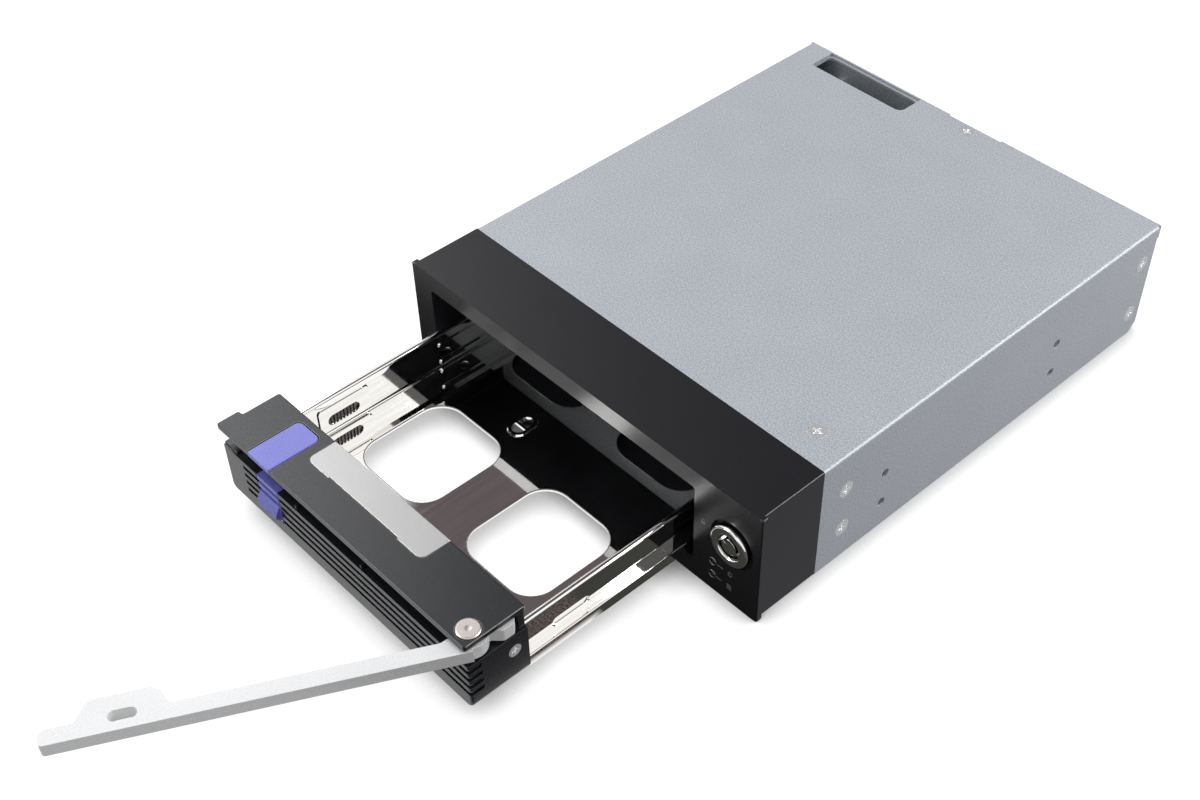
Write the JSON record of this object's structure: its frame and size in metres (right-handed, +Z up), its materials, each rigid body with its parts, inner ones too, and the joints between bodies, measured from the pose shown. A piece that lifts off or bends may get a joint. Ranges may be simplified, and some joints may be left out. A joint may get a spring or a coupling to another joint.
{
  "type": "hard drive mobile rack",
  "caption": "Internal mobile rack: silver sheet cage, black bezel with a key lock, and a sliding drive tray with a swing lever and a release button.",
  "frame": {"origin": "centre of the cage's underside", "axes": "+X to the right of someone facing the bezel, +Y to the rear of the cage, +Z up"},
  "size_m": [0.148, 0.35, 0.0415],
  "materials": {
    "cage_paint": "metallic silver paint",
    "bezel_black": "satin black",
    "zinc": "zinc plated",
    "board": "solder mask green",
    "connector_black": "moulded black",
    "lens": "clear",
    "flex": "amber film",
    "chrome": "polished",
    "polished_sheet": "mirror polished",
    "block_black": "satin black paint",
    "silver_plate": "fine brushed",
    "nickel": "nickel plated",
    "lever_metal": "bead blasted",
    "button_blue": "satin blue"
  },
  "bodies": {
    "rack": {"cage_shell": "cage_paint", "base_plate": "cage_paint", "rear_panel": "cage_paint", "front_bezel": "bezel_black", "guide_rail_left": "zinc", "guide_rail_right": "zinc", "rail_rivets": "zinc", "backplane_board": "board", "drive_connector": "connector_black", "data_connector": "connector_black", "power_connector": "connector_black", "board_standoffs": "zinc", "board_screws": "zinc", "side_screws": "zinc", "top_screws": "zinc", "indicator_lenses": "lens", "indicator_leds": "lens", "indicator_board": "board", "flex_headers": "connector_black", "indicator_flex": "flex", "lock_housing": "chrome", "lock_nut": "zinc"},
    "lock": {"lock_barrel": "chrome", "lock_cam": "zinc", "cam_screw": "zinc"},
    "tray": {"tray_pan": "polished_sheet", "tray_front": "block_black", "tray_cover": "block_black", "label_plate": "silver_plate", "pivot_pin": "nickel", "tray_screws": "zinc", "button_spring": "zinc"},
    "handle": {"lever": "lever_metal"},
    "button": {"release_button": "button_blue"}
  },
  "joints": [
    {"name": "tray_slide", "type": "slide", "parent": "rack", "child": "tray", "axis": [0, 1, 0], "range_m": [-0.04, 0.0786]},
    {"name": "lever_swing", "type": "hinge", "parent": "tray", "child": "handle", "pos_m": [0.0424, -0.1753, 0.0279], "axis": [0, 0, -1], "range_deg": [0, 62.3]},
    {"name": "button_press", "type": "slide", "parent": "tray", "child": "button", "axis": [0, 0, 1], "range_m": [0, 0.001], "stiffness_N_per_m": 500, "springref_m": -0.002, "deforming": ["button_spring"]},
    {"name": "key_turn", "type": "hinge", "parent": "rack", "child": "lock", "pos_m": [0.0634, -0.1015, 0.0239], "axis": [0, -1, 0], "range_deg": [0, 90]}
  ]
}
